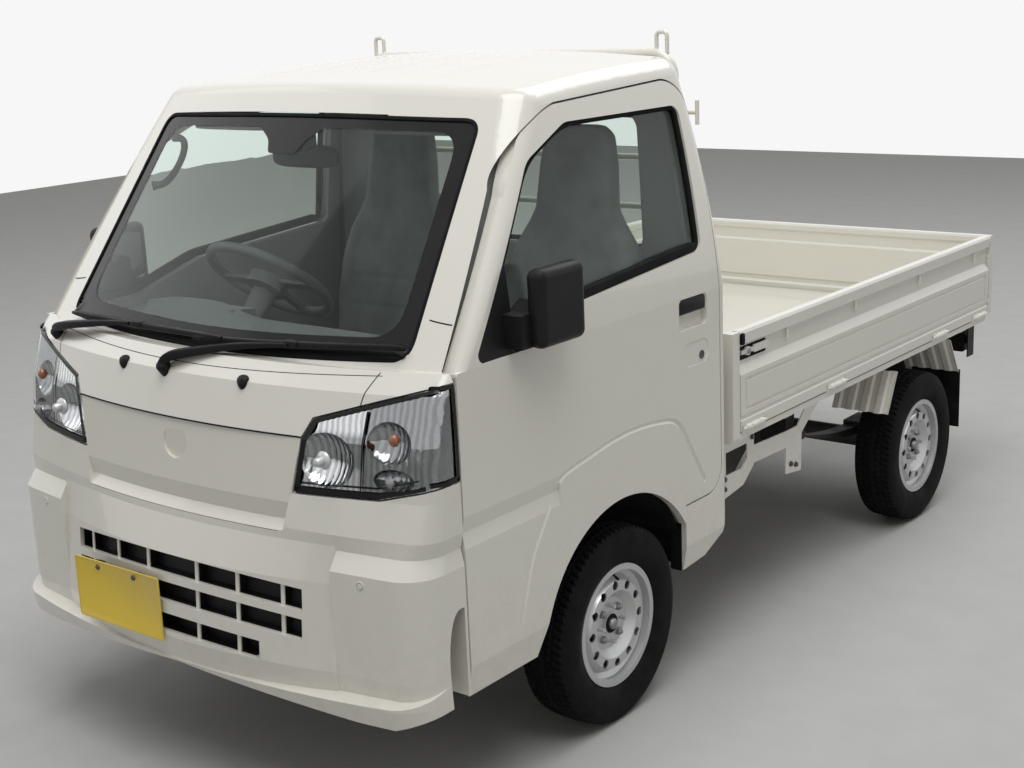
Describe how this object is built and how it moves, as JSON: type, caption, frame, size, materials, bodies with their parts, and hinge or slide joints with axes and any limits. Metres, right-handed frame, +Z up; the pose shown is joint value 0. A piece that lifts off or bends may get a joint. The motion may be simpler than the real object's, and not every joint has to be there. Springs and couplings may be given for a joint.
{
  "type": "kei truck",
  "caption": "Small cab-over light truck with a drop-side load bed: opening doors, hinged gates, steered front wheels and leaf-sprung rear axle.",
  "frame": {"origin": "on the ground, under the centre of the whole truck", "axes": "-Y towards the front, +X towards the truck's left side, +Z up"},
  "size_m": [1.636, 3.3948, 1.7799],
  "materials": {
    "white_paint": "gloss ivory white",
    "bumper_paint": "body colour, gloss",
    "black_plastic": "grained",
    "grey_trim": "grained",
    "chassis_paint": "satin black",
    "bare_steel": "dull",
    "wheel_silver": "silver",
    "tyre_rubber": "worn",
    "flap_rubber": "flat",
    "window_glass": "clear, faint green",
    "lens_clear": "clear",
    "lamp_inside": "bright moulded",
    "tail_red": "red lens",
    "seat_cloth": "woven dark grey",
    "engine_metal": "rough"
  },
  "bodies": {
    "root": {"ladder_frame": "chassis_paint", "cab_shell": "white_paint", "cab_floor": "white_paint", "cowl_panel": "white_paint", "front_bumper": "bumper_paint", "grille_insert": "black_plastic", "windscreen": "window_glass", "rear_window": "window_glass", "headlamps": "lamp_inside", "lamp_lenses": "lens_clear", "wipers": "black_plastic", "dashboard": "grey_trim", "seat_driver": "seat_cloth", "seat_passenger": "seat_cloth", "engine_block": "engine_metal", "fuel_tank": "chassis_paint", "front_suspension": "chassis_paint", "rear_axle": "bare_steel", "bed_floor": "white_paint", "cab_guard": "white_paint", "rear_mudguards": "white_paint", "side_brackets": "white_paint", "mud_flaps": "flap_rubber", "tail_lamps": "tail_red", "exhaust": "bare_steel"},
    "left_door": {"door_left": "white_paint", "door_glass_left": "window_glass", "mirror_left": "black_plastic"},
    "right_door": {"door_right": "white_paint", "door_glass_right": "window_glass", "mirror_right": "black_plastic"},
    "left_gate": {"side_gate_left": "white_paint"},
    "right_gate": {"side_gate_right": "white_paint"},
    "rear_gate": {"tail_gate": "white_paint"},
    "left_knuckle": {"knuckle_left": "bare_steel"},
    "right_knuckle": {"knuckle_right": "bare_steel"},
    "hand_wheel": {"steering_wheel": "grey_trim"},
    "wheel_front_left": {"tyre_front_left": "tyre_rubber", "rim_front_left": "wheel_silver"},
    "wheel_front_right": {"tyre_front_right": "tyre_rubber", "rim_front_right": "wheel_silver"},
    "wheel_rear_left": {"tyre_rear_left": "tyre_rubber", "rim_rear_left": "wheel_silver"},
    "wheel_rear_right": {"tyre_rear_right": "tyre_rubber", "rim_rear_right": "wheel_silver"}
  },
  "joints": [
    {"name": "door_left_hinge", "type": "hinge", "parent": "root", "child": "left_door", "pos_m": [0.7295, -1.407, 0.7], "axis": [0, 0, -1], "range_deg": [0, 68]},
    {"name": "door_right_hinge", "type": "hinge", "parent": "root", "child": "right_door", "pos_m": [-0.7295, -1.407, 0.7], "axis": [0, 0, 1], "range_deg": [0, 68]},
    {"name": "side_gate_left_hinge", "type": "hinge", "parent": "root", "child": "left_gate", "pos_m": [0.7315, 0.7, 0.652], "axis": [0, 1, 0], "range_deg": [0, 175]},
    {"name": "side_gate_right_hinge", "type": "hinge", "parent": "root", "child": "right_gate", "pos_m": [-0.7315, 0.7, 0.652], "axis": [0, -1, 0], "range_deg": [0, 175]},
    {"name": "tail_gate_hinge", "type": "hinge", "parent": "root", "child": "rear_gate", "pos_m": [0, 1.6915, 0.652], "axis": [-1, 0, 0], "range_deg": [0, 175]},
    {"name": "steer_left", "type": "hinge", "parent": "root", "child": "left_knuckle", "pos_m": [0.575, -0.8, 0.2684], "axis": [-0.225, 0, 0.9744], "range_deg": [-33, 33]},
    {"name": "steer_right", "type": "hinge", "parent": "root", "child": "right_knuckle", "pos_m": [-0.575, -0.8, 0.2684], "axis": [0.225, 0, 0.9744], "range_deg": [-33, 33]},
    {"name": "steering_wheel_turn", "type": "hinge", "parent": "root", "child": "hand_wheel", "pos_m": [-0.34, -0.965, 1.136], "axis": [0, 0.6428, 0.766], "range_deg": [-540, 540]},
    {"name": "front_left_spin", "type": "hinge", "parent": "left_knuckle", "child": "wheel_front_left", "pos_m": [0.6525, -0.8, 0.2684], "axis": [1, 0, 0], "continuous": true},
    {"name": "front_right_spin", "type": "hinge", "parent": "right_knuckle", "child": "wheel_front_right", "pos_m": [-0.6525, -0.8, 0.2684], "axis": [1, 0, 0], "continuous": true},
    {"name": "rear_left_spin", "type": "hinge", "parent": "root", "child": "wheel_rear_left", "pos_m": [0.6525, 1.1, 0.2684], "axis": [1, 0, 0], "continuous": true},
    {"name": "rear_right_spin", "type": "hinge", "parent": "root", "child": "wheel_rear_right", "pos_m": [-0.6525, 1.1, 0.2684], "axis": [1, 0, 0], "continuous": true}
  ],
  "couplings": [
    {"joint": "steer_right", "follows": "steer_left", "ratio": 1},
    {"joint": "steering_wheel_turn", "follows": "steer_left", "ratio": 16}
  ]
}
